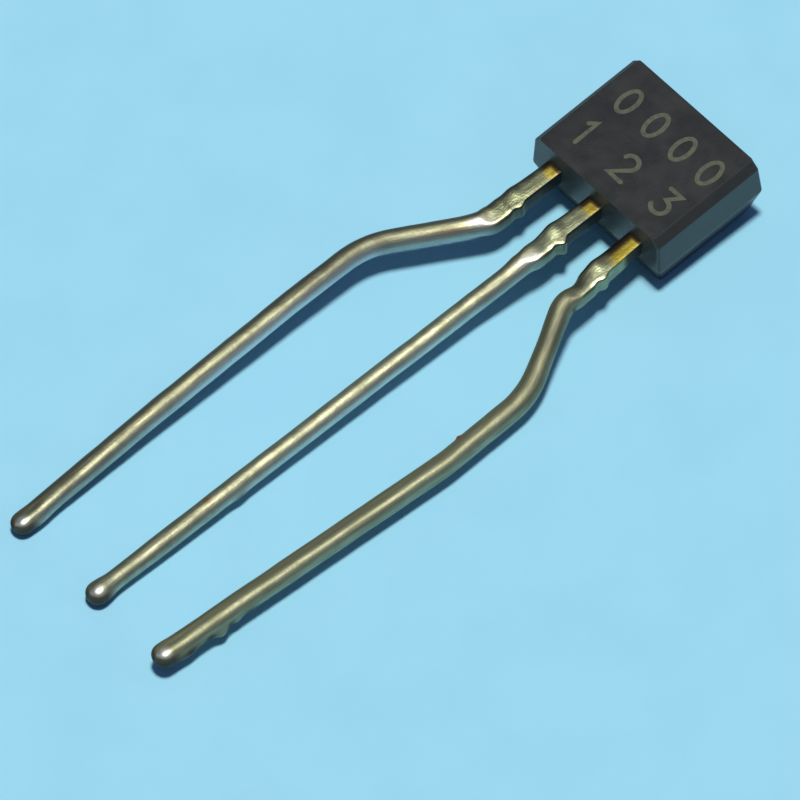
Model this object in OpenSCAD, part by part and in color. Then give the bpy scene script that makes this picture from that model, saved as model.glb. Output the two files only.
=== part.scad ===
// Small flat-bodied three-lead transistor with its leads spread for a wider board pitch,
// lying on a table on the foot of its body and on the tips of two leads.
// The pieces are drawn in a straight frame first: X across the leads, -Y along them, and
// Z from the back face to the marked face. At the end every piece is tipped by the same
// small angle and moved, so that the part rests on Z = 0 with the middle of its box at
// the origin.

/* [Body] */
// Width of the body across the leads, at the parting line
body_w = 4.08; // [3.8:0.01:4.6]
// Height of the body along the leads, at the parting line
body_h = 3.13; // [2.9:0.01:3.6]
// Thickness of the body from back face to marked face
body_t = 1.8; // [1.75:0.05:2.2]
// Height of the parting line above the back face
parting_z = 0.76; // [0.6:0.02:0.88]
// Mould draft of the half that carries the marked face, in degrees
front_draft = 3.5; // [1:0.5:5]
// Mould draft of the back half, in degrees
back_draft = 16; // [5:0.5:20]
// Width of the bevel on each side of the marked face
bevel_w = 0.16; // [0.1:0.02:0.3]
// Depth of that bevel below the marked face
bevel_d = 0.2; // [0.1:0.02:0.3]

/* [Leads] */
// Height of the lead frame's lower face above the body's back face
frame_z = 0.88; // [0.8:0.01:0.95]
// Lead pitch where the leads leave the body
lead_pitch = 1.27; // [1.2:0.01:1.35]
// Width of the bare stamped lead
lead_w = 0.42; // [0.35:0.01:0.46]
// Thickness of the stamped lead frame
lead_t = 0.4; // [0.34:0.01:0.44]
// Diameter of the emitter lead's solder-coated round shank
emitter_d = 0.51; // [0.46:0.01:0.54]
// Diameter of the collector lead's solder-coated round shank
collector_d = 0.48; // [0.46:0.01:0.54]
// Diameter of the base lead's solder-coated round shank
base_d = 0.54; // [0.46:0.01:0.54]
// Diameter of the solder bead at each lead's tip
tip_d = 0.56; // [0.55:0.01:0.62]
// Length of the emitter and collector leads outside the body
lead_l = 14.58; // [12:0.05:16]
// Length of the base lead outside the body
base_lead_l = 14.66; // [12:0.05:16]
// Distance from the body to the stub of the cut dam bar
dam_y = 0.92; // [0.8:0.02:1]
// Length of that stub along the lead
dam_l = 0.6; // [0.5:0.05:0.8]
// How far that stub stands out sideways
dam_step = 0.08; // [0.06:0.01:0.18]
// Length of the flat bar past the stub
bar_past = 0.06; // [0.04:0.01:0.1]

/* [Lead forming] */
// How far the emitter lead's flat bar is pulled outwards at its free end
emitter_bar_out = 0.14; // [0:0.01:0.2]
// Sideways spread of the emitter lead
emitter_spread = 1.57; // [1:0.01:1.8]
// Distance from the body to the emitter lead's first bend
emitter_bend_1 = 1.87; // [1.85:0.02:2.2]
// Distance from the body to the emitter lead's second bend
emitter_bend_2 = 4.25; // [4:0.05:4.8]
// Distance from the body to the emitter lead's slack bend
emitter_slack_y = 6.4; // [6.2:0.1:7.5]
// Rise of the emitter lead at its slack bend
emitter_rise = 0.05; // [0.02:0.01:0.3]
// How far the emitter lead's tip leans back in
emitter_tip_in = 0.1; // [0.02:0.01:0.2]
// How far the base lead's flat bar is pulled outwards at its free end
base_bar_out = 0.07; // [0:0.01:0.2]
// Sideways spread of the base lead
base_spread = 1.15; // [0.9:0.01:1.8]
// Distance from the body to the base lead's first bend
base_bend_1 = 2.2; // [1.85:0.01:2.4]
// Distance from the body to the base lead's second bend
base_bend_2 = 4.19; // [4:0.01:4.8]
// How far the base lead drops from its first bend to its second
base_drop = 0.34; // [0.1:0.01:0.5]
// How far the base lead drifts further outwards from its second bend to its slack bend
base_drift = 0.08; // [0:0.01:0.1]
// Distance from the body to the base lead's slack bend
base_slack_y = 6.7; // [6.2:0.1:7.5]
// How far the base lead's tip leans back in
base_tip_in = 0.46; // [0.05:0.01:0.5]
// Rise of the base lead's tip over the flat bar
base_tip_rise = 0.22; // [0.05:0.01:0.6]
// How far the collector lead stands off the body's centre line, towards the emitter lead
collector_set = 0.04; // [0:0.01:0.1]
// How far the collector lead swings further that way before its slack bend
collector_swing = 0.14; // [0.05:0.01:0.2]
// How far the collector lead leans that way from its slack bend to its tip
collector_lean = 0.12; // [0.02:0.01:0.3]
// How far the collector lead sags at its slack bend
collector_sag = 0.24; // [0.05:0.01:0.3]
// Distance from the body to the collector lead's slack bend
collector_slack_y = 3.5; // [3:0.1:6]
// Radius of the outer leads' first bends, to the centre of the shank
bend_1_r = 0.8; // [0.5:0.1:1]
// Radius of the outer leads' second bends, to the centre of the shank
bend_2_r = 2.2; // [1:0.1:2.4]
// Radius of the slack bends, to the centre of the shank
slack_r = 5; // [3:0.5:6]

/* [Inside the body] */
// Width of the collector lead's die pad
pad_w = 1.1; // [0.8:0.05:1.1]
// Length of the die pad
pad_l = 1.5; // [1:0.05:1.5]
// Distance from the body's lead side to the die pad and the bond posts
pad_y = 0.85; // [0.7:0.05:0.9]
// Gap between the die pad and each bond post
post_gap = 0.26; // [0.2:0.02:0.3]
// Length of each bond post
post_l = 0.8; // [0.5:0.05:0.9]
// Side of the square die
die_w = 0.36; // [0.3:0.02:0.5]
// Thickness of the die
die_t = 0.15; // [0.1:0.01:0.16]
// Thickness of the die attach layer
attach_t = 0.02; // [0.02:0.005:0.03]
// How far the die attach layer shows round the die
attach_rim = 0.03; // [0.02:0.01:0.05]
// Diameter of the bond wires
bond_d = 0.03; // [0.03:0.005:0.04]
// Height of the bond wire loops above the die
loop_h = 0.15; // [0.13:0.01:0.16]
// Diameter of the bonds at both ends of each wire
bond_foot_d = 0.08; // [0.07:0.01:0.1]
// Thickness of those bonds
bond_foot_t = 0.02; // [0.02:0.005:0.03]

/* [Hidden] */
$fn = 48;

// Body, in the straight frame
front_rise = body_t - parting_z;
front_inset = front_rise * tan(front_draft);
back_inset = parting_z * tan(back_draft);
bevel_top_inset = (front_rise - bevel_d) * tan(front_draft);

// Lead frame
frame_top_z = frame_z + lead_t;
lead_z = frame_z + lead_t / 2;
emitter_r = emitter_d / 2;
base_r = base_d / 2;
tip_r = tip_d / 2;
shank_y = dam_y + dam_l + bar_past;
shank_lap = 0.1;
joint_over = 0.004;
tip_y = lead_l - tip_r;
base_tip_y = base_lead_l - tip_r;
dam_peak_y = dam_y + 0.4 * dam_l;

// Die pad, bond posts, die and bonds
post_in_x = pad_w / 2 + post_gap;
post_out_x = lead_pitch + lead_w / 2;
die_y = pad_y + pad_l / 2;
die_z = frame_top_z + attach_t;
die_top_z = die_z + die_t;
bond_r = bond_d / 2;
bond_x = die_w / 4;
post_bond_x = (2 * post_in_x + post_out_x) / 3;
post_bond_y = pad_y + 2 / 3 * post_l;

// Centre lines of the shanks, from inside the flat part to the centre of the solder bead
emitter_x = -lead_pitch - emitter_spread;
emitter_rise_share = (emitter_bend_2 - emitter_bend_1) / (emitter_slack_y - emitter_bend_1);
emitter_line = [
    [-lead_pitch - emitter_bar_out, -shank_y + shank_lap, lead_z],
    [-lead_pitch - emitter_bar_out, -emitter_bend_1, lead_z],
    [emitter_x, -emitter_bend_2, lead_z + emitter_rise * emitter_rise_share],
    [emitter_x, -emitter_slack_y, lead_z + emitter_rise],
    [emitter_x + emitter_tip_in, -tip_y, lead_z]
];
collector_line = [
    [-collector_set, -shank_y + shank_lap, lead_z],
    [-collector_set, -emitter_bend_1, lead_z],
    [-collector_set - collector_swing, -collector_slack_y, lead_z - collector_sag],
    [-collector_set - collector_swing - collector_lean, -tip_y, lead_z]
];
base_x = lead_pitch + base_spread;
base_rise = base_drop + base_tip_rise;
base_rise_share = (base_slack_y - base_bend_2) / (base_tip_y - base_bend_2);
base_line = [
    [lead_pitch + base_bar_out, -shank_y + shank_lap, lead_z],
    [lead_pitch + base_bar_out, -base_bend_1, lead_z],
    [base_x - base_drift, -base_bend_2, lead_z - base_drop],
    [base_x, -base_slack_y, lead_z - base_drop + base_rise * base_rise_share],
    [base_x - base_tip_in, -base_tip_y, lead_z + base_tip_rise]
];
outer_bends = [bend_1_r, bend_2_r, slack_r];
collector_bends = [bend_2_r, slack_r];

// Resting pose: the part stands on the back face's edge on the lead side and on the
// solder beads of the emitter and collector leads
foot_to_tip = back_inset + tip_y;
rest_tilt = acos(tip_r / norm([foot_to_tip, lead_z])) - atan2(foot_to_tip, lead_z);
far_y = body_h * cos(rest_tilt) - parting_z * sin(rest_tilt);
tips_y = -tip_y * cos(rest_tilt) - lead_z * sin(rest_tilt);
base_tips_y = -base_tip_y * cos(rest_tilt) - (lead_z + base_tip_rise) * sin(rest_tilt);
near_y = min(tips_y, base_tips_y) - tip_r;
middle_x = (emitter_x - emitter_r + base_x + base_r) / 2;
rest_shift = [-middle_x, -(far_y + near_y) / 2, -back_inset * sin(rest_tilt)];

function unit(v) = v / norm(v);

// Length that a bend of centre radius bend_r, from direction u to direction v, takes from
// each side of its corner
function setback(u, v, bend_r) = bend_r * tan(acos(u * v) / 2);

// Tips a piece from the straight frame into the resting pose
module at_rest() {
    translate(rest_shift) rotate([rest_tilt, 0, 0]) children();
}

// A straight round rod from a to b
module rod(a, b, r) {
    u = unit(b - a);
    translate(a) rotate([0, acos(u.z), atan2(u.y, u.x)]) cylinder(h = norm(b - a), r = r);
}

// A round bend of centre radius bend_r that turns direction u into direction v at corner p,
// with a ball at both ends that closes the joint to the straight rods
module elbow(p, u, v, r, bend_r) {
    turn = acos(u * v);
    inward = unit(v - u * (u * v));
    side = cross(-inward, u);
    start = p - u * setback(u, v, bend_r);
    translate(start + inward * bend_r)
        rotate([atan2(u.z, side.z), asin(inward.z), atan2(-inward.y, -inward.x)])
            rotate_extrude(angle = turn) translate([bend_r, 0]) circle(r = r);
    translate(start) sphere(r = r + joint_over);
    translate(p + v * setback(u, v, bend_r)) sphere(r = r + joint_over);
}

// Round wire along corner points, with one bend radius for each inner corner
module wire(points, bends, r) {
    last = len(points) - 1;
    dirs = [for (i = [0:last - 1]) unit(points[i + 1] - points[i])];
    cuts = [for (i = [0:last])
        i == 0 || i == last ? 0 : setback(dirs[i - 1], dirs[i], bends[i - 1])];
    for (i = [0:last - 1])
        rod(points[i] + dirs[i] * cuts[i], points[i + 1] - dirs[i] * cuts[i + 1], r);
    for (i = [1:last - 1])
        elbow(points[i], dirs[i - 1], dirs[i], r, bends[i - 1]);
}

// Round shank of one lead with the solder bead at its tip
module shank(points, bends, r) {
    wire(points, bends, r);
    translate(points[len(points) - 1]) sphere(r = tip_r);
}

// Outline of the stamped bar of a lead, with the stub of the dam bar on its right; outside
// the body it leans sideways, by lean at its free end
module bar_outline(x, lean) {
    left = x - lead_w / 2;
    right = x + lead_w / 2;
    dam_end_y = dam_y + dam_l;
    polygon([
        [left + lean, -shank_y],
        [right + lean, -shank_y],
        [right + lean * dam_end_y / shank_y, -dam_end_y],
        [right + lean * dam_peak_y / shank_y + dam_step, -dam_peak_y],
        [right + lean * dam_y / shank_y, -dam_y],
        [right, 0],
        [right, pad_y],
        [left, pad_y],
        [left, 0]
    ]);
}

// Stamped part of an outer lead: its bar and, inside the body, its bond post
module outer_stamping(side, bar_out) {
    translate([0, 0, frame_z]) linear_extrude(height = lead_t) {
        bar_outline(side * lead_pitch, side * bar_out);
        translate([side < 0 ? -post_out_x : post_in_x, pad_y])
            square([post_out_x - post_in_x, post_l]);
    }
}

// Stamped part of the middle lead: its bar and, inside the body, its die pad
module middle_stamping() {
    translate([0, 0, frame_z]) linear_extrude(height = lead_t) {
        bar_outline(-collector_set, 0);
        translate([-pad_w / 2, pad_y]) square([pad_w, pad_l]);
    }
}

module straight_emitter_lead() {
    outer_stamping(-1, emitter_bar_out);
    shank(emitter_line, outer_bends, emitter_r);
}

module straight_collector_lead() {
    middle_stamping();
    shank(collector_line, collector_bends, collector_d / 2);
}

module straight_base_lead() {
    outer_stamping(1, base_bar_out);
    shank(base_line, outer_bends, base_r);
}

module straight_die() {
    translate([-die_w / 2, die_y - die_w / 2, die_z]) cube([die_w, die_w, die_t]);
}

module straight_die_attach() {
    side = die_w + 2 * attach_rim;
    translate([-side / 2, die_y - side / 2, frame_top_z]) cube([side, side, attach_t]);
}

// Bond wire from the die to the post on the given side, -1 or 1: a vertical rise from the
// ball bond, then a straight fall to the bond on the post
module straight_bond_wire(side) {
    on_die = [side * bond_x, die_y, die_top_z];
    on_post = [side * post_bond_x, post_bond_y, frame_top_z];
    loop_top = on_die + [0, 0, loop_h];
    wire_end = on_post + [0, 0, bond_foot_t / 2 + bond_r];
    translate(on_die) cylinder(h = bond_foot_t, d = bond_foot_d);
    rod(on_die + [0, 0, bond_foot_t / 2], loop_top, bond_r);
    translate(loop_top) sphere(r = bond_r + joint_over);
    rod(loop_top, wire_end, bond_r);
    translate(wire_end) sphere(r = bond_r + joint_over);
    translate(on_post) cylinder(h = bond_foot_t, d = bond_foot_d);
}

// Section of the body across the leads
module body_section_xz() {
    parting_x = body_w / 2;
    back_x = parting_x - back_inset;
    bevel_x = parting_x - bevel_top_inset;
    marked_x = parting_x - front_inset - bevel_w;
    polygon([
        [-back_x, 0],
        [back_x, 0],
        [parting_x, parting_z],
        [bevel_x, body_t - bevel_d],
        [marked_x, body_t],
        [-marked_x, body_t],
        [-bevel_x, body_t - bevel_d],
        [-parting_x, parting_z]
    ]);
}

// Section of the body along the leads
module body_section_yz() {
    polygon([
        [back_inset, 0],
        [body_h - back_inset, 0],
        [body_h, parting_z],
        [body_h - front_inset, body_t],
        [front_inset, body_t],
        [0, parting_z]
    ]);
}

// The moulded body closes round everything inside it
module straight_body() {
    difference() {
        intersection() {
            translate([0, body_h, 0]) rotate([90, 0, 0])
                linear_extrude(height = body_h) body_section_xz();
            translate([-body_w / 2, 0, 0]) rotate([90, 0, 90])
                linear_extrude(height = body_w) body_section_yz();
        }
        straight_emitter_lead();
        straight_collector_lead();
        straight_base_lead();
        straight_die();
        straight_die_attach();
        straight_bond_wire(-1);
        straight_bond_wire(1);
    }
}

// Moulded epoxy body
module body() {
    color("#3a3d41") at_rest() straight_body();
}

// Emitter lead with its bond post
module emitter_lead() {
    color("#a9a78c") at_rest() straight_emitter_lead();
}

// Collector lead with its die pad
module collector_lead() {
    color("#a9a78c") at_rest() straight_collector_lead();
}

// Base lead with its bond post
module base_lead() {
    color("#a9a78c") at_rest() straight_base_lead();
}

// Silicon die
module die() {
    color("#6a7078") at_rest() straight_die();
}

// Silver-filled layer that holds the die on its pad
module die_attach() {
    color("#b9b9b4") at_rest() straight_die_attach();
}

// Gold wire from the die to the emitter lead's post
module emitter_bond_wire() {
    color("#e0b84c") at_rest() straight_bond_wire(-1);
}

// Gold wire from the die to the base lead's post
module base_bond_wire() {
    color("#e0b84c") at_rest() straight_bond_wire(1);
}

body();
emitter_lead();
collector_lead();
base_lead();
die();
die_attach();
emitter_bond_wire();
base_bond_wire();
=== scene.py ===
"""Looks of a small flat-bodied transistor that lies on a pale table.

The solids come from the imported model. This script dresses them: the moulded body gets its
soft mould edges and parting line, the leads get their solder coat, and every surface gets a
procedural finish. Sizes are in millimetres in the part's straight frame (X across the
leads, -Y along them, Z from the back face to the marked face) until they are placed.
"""

from __future__ import annotations

import logging
import math
from dataclasses import dataclass, field
from enum import Enum

import bmesh
import bpy
from mathutils import Matrix, Vector, noise


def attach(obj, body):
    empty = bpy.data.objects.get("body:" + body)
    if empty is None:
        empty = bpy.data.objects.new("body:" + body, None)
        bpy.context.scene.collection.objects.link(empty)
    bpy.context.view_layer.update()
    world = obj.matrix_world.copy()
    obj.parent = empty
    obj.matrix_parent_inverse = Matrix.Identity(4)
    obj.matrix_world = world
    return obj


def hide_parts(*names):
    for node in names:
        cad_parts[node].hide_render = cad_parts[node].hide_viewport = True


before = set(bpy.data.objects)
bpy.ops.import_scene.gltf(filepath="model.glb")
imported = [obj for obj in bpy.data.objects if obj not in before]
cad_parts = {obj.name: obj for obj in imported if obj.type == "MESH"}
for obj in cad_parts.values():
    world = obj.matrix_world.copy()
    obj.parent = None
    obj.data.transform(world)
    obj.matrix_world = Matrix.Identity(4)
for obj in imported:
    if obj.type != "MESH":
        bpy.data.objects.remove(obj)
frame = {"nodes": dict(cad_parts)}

MM = 0.001
ROOT = "root"
LOG = logging.getLogger("transistor")

# Mesh layers that the solder finish reads, among them layers of painted shade and painted highlight.
SKIN_LAYERS = ("along", "around_x", "around_y", "tarnish_and_shade", "stain", "tip", "painted_shade")

Colour = tuple[float, float, float]
Point = tuple[float, float, float]
Pair = tuple[float, float]
Span = tuple[float, float]

RISING: Span = (0.0, 1.0)
FALLING: Span = (1.0, 0.0)
BLACK: Colour = (0.0, 0.0, 0.0)

# Values of a noise pattern over which two colours take about half each.
HALF_AND_HALF: Span = (0.3, 0.7)

# Change of a sine or cosine over which a corner's centre crosses from side to side.
CROSSING = 0.6

# Sines and cosines over which a section's upper left corner takes its own radius.
ROLL_UP: Span = (-0.1, 0.2)
ROLL_LEFT: Span = (-0.3, 0.3)

# Radius of a tip's last ring, and the least offset that has a direction, in millimetres.
SMALLEST_R = 1e-4
SMALLEST_OFFSET = 1e-3


# ---------------------------------------------------------------------------
# Sizes
# ---------------------------------------------------------------------------


@dataclass(frozen=True)
class Package:
    """Sizes of the moulded body and the lead frame, in millimetres and degrees.

    Attributes:
        body_w: Width of the body at its parting line.
        body_h: Its height along the leads.
        body_t: Its thickness.
        parting_z: Height of the parting line over the back face.
        frame_z: Height of the lead frame's underside over the back face.
        front_draft: Draft of the half with the marked face.
        back_draft: Draft of the half with the back face.
        bevel_w: Width of the marked face's side bevels.
        bevel_d: Their depth.
        lead_pitch: Distance between the leads at the body.
        lead_w: Width of a lead's flat bar.
        lead_t: Its thickness.
        tip_d: Diameter of the solder bead at a lead's tip, as the solids have it.
        pad_w: Width of the collector's die pad.
        pad_l: Its length.
        pad_y: Distance from the outer wall to the pad and the bond posts.
        post_gap: Gap between the pad and a bond post.
        post_l: Length of a bond post.
    """

    body_w: float = 4.08
    body_h: float = 3.13
    body_t: float = 1.8
    parting_z: float = 0.76
    frame_z: float = 0.88
    front_draft: float = 3.5
    back_draft: float = 16.0
    bevel_w: float = 0.16
    bevel_d: float = 0.2
    lead_pitch: float = 1.27
    lead_w: float = 0.42
    lead_t: float = 0.4
    tip_d: float = 0.56
    pad_w: float = 1.1
    pad_l: float = 1.5
    pad_y: float = 0.85
    post_gap: float = 0.26
    post_l: float = 0.8

    @property
    def back_inset(self) -> float:
        """How far the back face lies inside the parting line."""
        return self.parting_z * math.tan(math.radians(self.back_draft))

    @property
    def front_inset(self) -> float:
        """How far the marked face's ends lie inside the parting line."""
        return (self.body_t - self.parting_z) * math.tan(math.radians(self.front_draft))

    @property
    def lead_z(self) -> float:
        """Height of the leads' centre lines at the body."""
        return self.frame_z + self.lead_t / 2


@dataclass(frozen=True)
class RestPose:
    """The small lean and shift that lay the straight part on the table.

    Attributes:
        package: Sizes of the body and the lead frame.
        tip_y: Distance from the body to the centres of the outer and middle tips' beads.
        base_tip_y: The same for the base lead.
        base_tip_rise: How far that lead's tip stands above the others.
        left_x: The part's reach to the left, as a place on X.
        right_x: The part's reach to the right.
    """

    package: Package
    tip_y: float
    base_tip_y: float
    base_tip_rise: float
    left_x: float
    right_x: float

    @property
    def tilt(self) -> float:
        """Works out how far the straight frame leans to the table.

        Returns:
            The angle about X, in radians.
        """
        reach = self.package.back_inset + self.tip_y
        height = self.package.lead_z
        return math.acos(self.package.tip_d / 2 / math.hypot(reach, height)) - math.atan2(reach, height)

    def matrix(self) -> Matrix:
        """Works out the move from the straight frame to the resting part.

        Returns:
            A matrix that takes millimetres in the straight frame to metres on the table.
        """
        box = self.package
        cos, sin = math.cos(self.tilt), math.sin(self.tilt)
        far = box.body_h * cos - box.parting_z * sin
        tips = -self.tip_y * cos - box.lead_z * sin
        base_tip = -self.base_tip_y * cos - (box.lead_z + self.base_tip_rise) * sin
        near = min(tips, base_tip) - box.tip_d / 2
        shift = Vector((-(self.left_x + self.right_x) / 2, -(far + near) / 2, -box.back_inset * sin))
        return Matrix.Scale(MM, 4) @ Matrix.Translation(shift) @ Matrix.Rotation(self.tilt, 4, "X")


class LeadRole(Enum):
    """The three leads, by what they connect."""

    EMITTER = "emitter"
    COLLECTOR = "collector"
    BASE = "base"


@dataclass(frozen=True)
class Lump:
    """A small run, pit or stain in the solder, by place on the lead.

    Attributes:
        along: Distance from the body, in millimetres.
        angle: Direction round the shank in degrees, 0 to the right and 90 up.
        height: How far it stands out, or in if negative; for a stain, its strength.
        length: Half length along the lead.
        spread: Half width round the shank, in degrees.
    """

    along: float
    angle: float
    height: float
    length: float
    spread: float


# ---------------------------------------------------------------------------
# Node graphs
# ---------------------------------------------------------------------------


class NodeGraph:
    """A material's node tree with short calls for the nodes that the finishes use."""

    def __init__(self, name: str) -> None:
        """Starts a material with a Principled shader.

        Args:
            name: Name of the new material.
        """
        self.material = bpy.data.materials.new(name)
        self.material.use_nodes = True
        self.tree = self.material.node_tree
        self.tree.nodes.clear()
        self.shader = self.tree.nodes.new("ShaderNodeBsdfPrincipled")
        output = self.tree.nodes.new("ShaderNodeOutputMaterial")
        self.tree.links.new(self.shader.outputs["BSDF"], output.inputs["Surface"])
        self.object_place = self.tree.nodes.new("ShaderNodeTexCoord").outputs["Object"]

    def plug(self, value: object, socket: bpy.types.NodeSocket) -> None:
        """Links an output to a socket, or sets the socket to a plain value.

        Args:
            value: An output socket, a number, or a tuple.
            socket: The input that takes it.
        """
        if isinstance(value, bpy.types.NodeSocket):
            self.tree.links.new(value, socket)
        elif isinstance(value, tuple) and len(value) == 3 and socket.type == "RGBA":
            socket.default_value = (*value, 1.0)
        else:
            socket.default_value = value

    def set(self, **values: object) -> None:
        """Sets the Principled shader's inputs.

        Args:
            **values: Values or sockets by input name, with underscores for spaces.
        """
        for name, value in values.items():
            self.plug(value, self.shader.inputs[name.replace("_", " ")])

    def attribute(self, name: str) -> bpy.types.NodeSocket:
        """Reads a number stored on the mesh's points.

        Args:
            name: Name of the stored layer.

        Returns:
            The number as an output socket.
        """
        node = self.tree.nodes.new("ShaderNodeAttribute")
        node.attribute_name = name
        return node.outputs["Fac"]

    def math(self, kind: str, a: object, b: object = 0.0, c: object = 0.0) -> bpy.types.NodeSocket:
        """Adds a Math node.

        Args:
            kind: Blender's name of the operation.
            a: First value or socket.
            b: Second value or socket.
            c: Third value or socket, where the operation takes one.

        Returns:
            The result's socket.
        """
        node = self.tree.nodes.new("ShaderNodeMath")
        node.operation = kind
        for value, socket in zip((a, b, c), node.inputs):
            self.plug(value, socket)
        return node.outputs[0]

    def vector(self, x: object, y: object, z: object) -> bpy.types.NodeSocket:
        """Joins three numbers to one vector.

        Args:
            x: First number or socket.
            y: Second number or socket.
            z: Third number or socket.

        Returns:
            The vector's socket.
        """
        node = self.tree.nodes.new("ShaderNodeCombineXYZ")
        for value, socket in zip((x, y, z), node.inputs):
            self.plug(value, socket)
        return node.outputs[0]

    def surface_direction(self) -> tuple[bpy.types.NodeSocket, ...]:
        """Reads how far the surface faces along each axis.

        Returns:
            Sockets for +X, +Y and +Z, each from -1 to 1.
        """
        normal = self.tree.nodes.new("ShaderNodeNewGeometry").outputs["Normal"]
        split = self.tree.nodes.new("ShaderNodeSeparateXYZ")
        self.plug(normal, split.inputs[0])
        return tuple(split.outputs)

    def noise(
        self,
        size: float,
        place: object = None,
        detail: float = 3.0,
        rough: float = 0.55,
    ) -> bpy.types.NodeSocket:
        """Adds a noise pattern.

        Args:
            size: Feature size, in the unit of the coordinates.
            place: Coordinates; the object's own by default.
            detail: Octaves of the noise.
            rough: How strong the fine octaves are.

        Returns:
            The noise value, from 0 to 1.
        """
        node = self.tree.nodes.new("ShaderNodeTexNoise")
        self.plug(place or self.object_place, node.inputs["Vector"])
        node.inputs["Scale"].default_value = 1 / size
        node.inputs["Detail"].default_value = detail
        node.inputs["Roughness"].default_value = rough
        return node.outputs["Fac"]

    def step(self, value: object, span: Span, out: Span = RISING) -> bpy.types.NodeSocket:
        """Maps a value smoothly from one range to another and clamps it.

        Args:
            value: The socket to map.
            span: Where the change starts and ends.
            out: The results at those two ends.

        Returns:
            The mapped value's socket.
        """
        node = self.tree.nodes.new("ShaderNodeMapRange")
        node.interpolation_type = "SMOOTHSTEP"
        for item, socket in zip((value, *span, *out), node.inputs):
            self.plug(item, socket)
        return node.outputs["Result"]

    def blend(self, share: object, a: object, b: object) -> bpy.types.NodeSocket:
        """Mixes two colours.

        Args:
            share: Share of the second colour.
            a: First colour or socket.
            b: Second colour or socket.

        Returns:
            The mixed colour's socket.
        """
        node = self.tree.nodes.new("ShaderNodeMix")
        node.data_type = "RGBA"
        self.plug(share, node.inputs["Factor"])
        colours = [s for s in node.inputs if s.type == "RGBA"]
        self.plug(a, colours[0])
        self.plug(b, colours[1])
        return next(s for s in node.outputs if s.type == "RGBA")

    def bump(self, height: object, depth: float, under: object = None) -> bpy.types.NodeSocket:
        """Adds a bump.

        Args:
            height: Socket of the height pattern.
            depth: Its full depth, in metres.
            under: Normal of a bump that this one lies on.

        Returns:
            The bumped normal's socket.
        """
        node = self.tree.nodes.new("ShaderNodeBump")
        node.inputs["Strength"].default_value = 1.0
        node.inputs["Distance"].default_value = depth
        self.plug(height, node.inputs["Height"])
        if under is not None:
            self.plug(under, node.inputs["Normal"])
        return node.outputs["Normal"]


# ---------------------------------------------------------------------------
# Finishes
# ---------------------------------------------------------------------------


@dataclass(frozen=True)
class MouldedEpoxy:
    """Dark filled epoxy with the fine satin grain of a spark-eroded mould.

    Attributes:
        face: Colour of the marked face, painted darker than the walls since the overhead lamp lights it
            fully.
        wall: Colour of the side walls and bevels, the same epoxy painted lighter as fill light since the
            lamp barely reaches them.
        lead_side_fill: Colour of the wall that the leads leave from, painted lighter still as fill light,
            since that wall faces away from the lamp.
        cloud: Colour of faint cloudy patches.
        speck: Colour of the filler grains that show.
        grain: Size of the fine grain, in metres.
        mottle: Size of the cloudy patches.
        grain_depth: Depth of the grain.
        face_up: How far a surface faces up where the walls' colour turns to the face's.
        lead_side_out: How far it faces away from the leads where that painted fill light ends.
        left_out: How far it faces right where the left wall's wear ends.
        rounding_in: How far it faces up where the worn upper edges start.
        rounding_out: How far it faces up where they end.
        cloud_in: Pattern values over which the cloudy patches start.
        speck_in: Pattern values over which the specks start.
        satin_in: Pattern values over which the roughness changes.
        satin: Roughness at the two ends of that change.
        cloud_share: Strength of the patches.
        speck_share: Strength of the specks.
        left_wear: Added roughness of the left wall.
        rounding_wear: Added roughness of the worn upper edges.
    """

    face: Colour = (0.0085, 0.0098, 0.0138)
    wall: Colour = (0.030, 0.029, 0.029)
    lead_side_fill: Colour = (0.078, 0.070, 0.058)
    cloud: Colour = (0.085, 0.085, 0.085)
    speck: Colour = (0.065, 0.068, 0.07)
    grain: float = 0.035 * MM
    mottle: float = 0.6 * MM
    grain_depth: float = 0.0022 * MM
    face_up: Span = (0.8, 0.97)
    lead_side_out: Span = (-0.97, -0.8)
    left_out: Span = (-0.9, -0.5)
    rounding_in: Span = (0.64, 0.70)
    rounding_out: Span = (0.97, 0.99)
    cloud_in: Span = (0.35, 0.75)
    speck_in: Span = (0.62, 0.8)
    satin_in: Span = (0.2, 0.8)
    satin: Span = (0.32, 0.40)
    cloud_share: float = 0.08
    speck_share: float = 0.35
    left_wear: float = 0.4
    rounding_wear: float = 0.5

    def build(self) -> bpy.types.Material:
        """Makes the material.

        Returns:
            The new material.
        """
        graph = NodeGraph("moulded_epoxy")
        grain = graph.noise(self.grain, detail=2.0, rough=0.6)
        fine = graph.noise(self.grain * 0.35, detail=1.0)
        mottle = graph.noise(self.mottle, detail=4.0)
        facing_right, facing_away, facing_up = graph.surface_direction()
        # Painted light and shade: one epoxy takes a darker colour on the face under the lamp and a lighter
        # one on the walls.
        colour = graph.blend(graph.step(facing_up, self.face_up), self.wall, self.face)
        # Painted fill light on the wall that the leads leave from.
        lead_side_fill = graph.step(facing_away, self.lead_side_out, FALLING)
        colour = graph.blend(lead_side_fill, colour, self.lead_side_fill)
        colour = graph.blend(graph.step(mottle, self.cloud_in, (0.0, self.cloud_share)), colour, self.cloud)
        colour = graph.blend(graph.step(grain, self.speck_in, (0.0, self.speck_share)), colour, self.speck)
        rounding = graph.math(
            "MULTIPLY",
            graph.step(facing_up, self.rounding_in),
            graph.step(facing_up, self.rounding_out, FALLING),
        )
        worn_left = graph.step(facing_right, self.left_out, (self.left_wear, 0.0))
        worn = graph.math("MAXIMUM", worn_left, graph.math("MULTIPLY", rounding, self.rounding_wear))
        graph.set(
            Base_Color=colour,
            Roughness=graph.math("ADD", graph.step(mottle, self.satin_in, self.satin), worn),
            Normal=graph.bump(fine, self.grain_depth * 0.4, graph.bump(grain, self.grain_depth)),
        )
        graph.shader.inputs["Specular IOR Level"].default_value = 0.5
        return graph.material


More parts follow.
